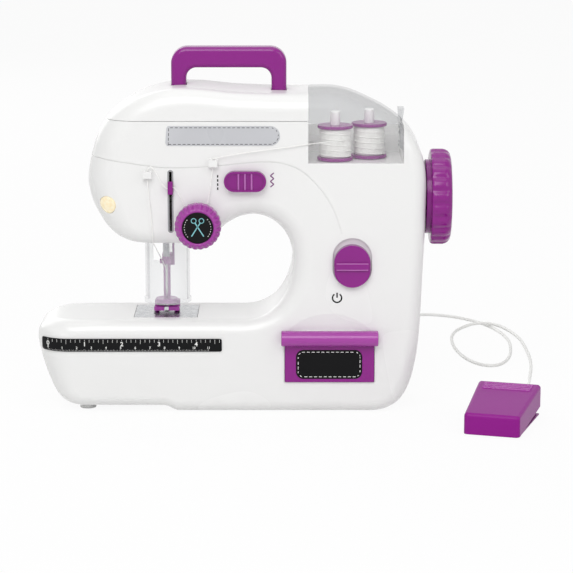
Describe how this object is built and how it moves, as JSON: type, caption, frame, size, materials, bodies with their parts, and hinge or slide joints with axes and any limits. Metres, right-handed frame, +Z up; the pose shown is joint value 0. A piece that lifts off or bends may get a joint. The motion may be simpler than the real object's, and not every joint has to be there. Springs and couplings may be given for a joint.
{
  "type": "toy sewing machine",
  "caption": "Toy sewing machine with carrying handle, needle guard, dials, spool bay, drawer, handwheel and a foot pedal on a cord.",
  "frame": {"origin": "on the floor under the middle of the base, on the face the machine stands on", "axes": "+X to the handwheel side, +Y to the back, +Z up"},
  "size_m": [0.356, 0.3684, 0.2485],
  "materials": {
    "white_case": "glossy",
    "purple_plastic": "glossy",
    "clear_plastic": "glossy",
    "steel": "satin",
    "brass": "satin",
    "black_plastic": "satin",
    "grey_plastic": "satin",
    "nylon": "matte",
    "thread": "matte",
    "led": "glossy",
    "cell": "satin",
    "cord": "satin"
  },
  "bodies": {
    "case": {"front_shell": "white_case", "rear_shell": "white_case", "top_cover": "white_case", "handle": "purple_plastic", "cover_hinge_pin": "steel", "spool_tray": "white_case", "spool_pins": "white_case", "thread_run": "thread", "thread_guides": "white_case", "slot_liner": "grey_plastic", "tension_stud": "steel", "switch_body": "white_case", "ruler_strip": "black_plastic", "lamp_lens": "clear_plastic", "lamp_led": "led", "presser_spring": "steel", "needle_guard": "clear_plastic", "needle_plate": "steel", "lower_frame": "steel", "head_frame": "steel", "shaft_bushes": "brass", "motor": "steel", "battery_door": "white_case", "batteries": "cell", "battery_contacts": "steel", "feet": "white_case", "case_screws": "steel", "jack_socket": "black_plastic", "jack_plug": "cord", "cord": "cord", "pedal_base": "purple_plastic", "pedal_pin": "steel", "pedal_spring": "steel", "pedal_gland": "black_plastic"},
    "wheel": {"handwheel": "purple_plastic", "main_shaft": "steel", "drive_gear": "nylon", "crank_disc": "steel"},
    "pinion": {"motor_pinion": "brass"},
    "needle": {"needle_bar": "steel", "needle_clamp": "purple_plastic", "needle": "steel", "connecting_rod": "steel", "take_up_lever": "purple_plastic"},
    "feed": {"feed_dog": "steel"},
    "looper": {"looper": "steel"},
    "presser": {"presser_bar": "steel", "presser_foot": "purple_plastic"},
    "lifter": {"presser_lifter": "purple_plastic"},
    "tension": {"tension_knob": "purple_plastic", "tension_face": "black_plastic"},
    "selector": {"selector_knob": "purple_plastic"},
    "switch": {"switch_knob": "purple_plastic"},
    "drawer": {"drawer": "purple_plastic"},
    "cover": {"spool_cover": "clear_plastic"},
    "left_spool": {"left_spool": "purple_plastic", "left_thread": "thread"},
    "right_spool": {"right_spool": "purple_plastic", "right_thread": "thread"},
    "treadle": {"pedal_treadle": "purple_plastic"}
  },
  "joints": [
    {"name": "wheel_spin", "type": "hinge", "parent": "case", "child": "wheel", "pos_m": [0, 0, 0.14498], "axis": [1, 0, 0], "continuous": true},
    {"name": "pinion_spin", "type": "hinge", "parent": "case", "child": "pinion", "pos_m": [0, 0, 0.12258], "axis": [1, 0, 0], "continuous": true},
    {"name": "needle_slide", "type": "slide", "parent": "case", "child": "needle", "axis": [0, 0, 1], "range_m": [-0.02, 0], "deforming": ["thread_run"]},
    {"name": "feed_slide", "type": "slide", "parent": "case", "child": "feed", "axis": [0, 1, 0], "range_m": [-0.0015, 0.0015]},
    {"name": "looper_swing", "type": "hinge", "parent": "case", "child": "looper", "pos_m": [-0.03855, 0, 0.046], "axis": [0, 1, 0], "range_deg": [-20.5, 0.5]},
    {"name": "lifter_turn", "type": "hinge", "parent": "case", "child": "lifter", "pos_m": [-0.02855, 0, 0.135], "axis": [0, 1, 0], "range_deg": [-17.6, 46.6]},
    {"name": "presser_slide", "type": "slide", "parent": "case", "child": "presser", "axis": [0, 0, 1], "range_m": [-0.00147, 0.00397], "deforming": ["presser_spring"]},
    {"name": "tension_turn", "type": "hinge", "parent": "case", "child": "tension", "pos_m": [-0.01983, 0, 0.13184], "axis": [0, 1, 0], "range_deg": [-135, 135]},
    {"name": "selector_slide", "type": "slide", "parent": "case", "child": "selector", "axis": [1, 0, 0], "range_m": [-0.004, 0.004]},
    {"name": "switch_slide", "type": "slide", "parent": "case", "child": "switch", "axis": [0, 0, 1], "range_m": [0, 0.004]},
    {"name": "drawer_slide", "type": "slide", "parent": "case", "child": "drawer", "axis": [0, -1, 0], "range_m": [0, 0.042]},
    {"name": "cover_hinge", "type": "hinge", "parent": "case", "child": "cover", "pos_m": [0.0865, 0.0339, 0.18739], "axis": [-1, 0, 0], "range_deg": [0, 100], "deforming": ["thread_run"]},
    {"name": "left_spool_spin", "type": "hinge", "parent": "case", "child": "left_spool", "pos_m": [0.07276, -0.008, 0.1715], "axis": [0, 0, 1], "continuous": true, "deforming": ["thread_run"]},
    {"name": "right_spool_spin", "type": "hinge", "parent": "case", "child": "right_spool", "pos_m": [0.09628, 0.004, 0.1715], "axis": [0, 0, 1], "continuous": true},
    {"name": "treadle_press", "type": "hinge", "parent": "case", "child": "treadle", "pos_m": [0.17673, -0.08927, 0.009], "axis": [-0.9613, 0.2756, 0], "range_deg": [0, 4], "stiffness_Nm_per_rad": 0.05, "springref_deg": -11.46, "deforming": ["pedal_spring"]}
  ],
  "couplings": [
    {"joint": "pinion_spin", "follows": "wheel_spin", "ratio": -3},
    {"joint": "feed_slide", "follows": "needle_slide", "ratio": 0.075},
    {"joint": "looper_swing", "follows": "needle_slide", "rad_per_m": 17.45},
    {"joint": "lifter_turn", "follows": "presser_slide", "rad_per_m": 202.4}
  ]
}
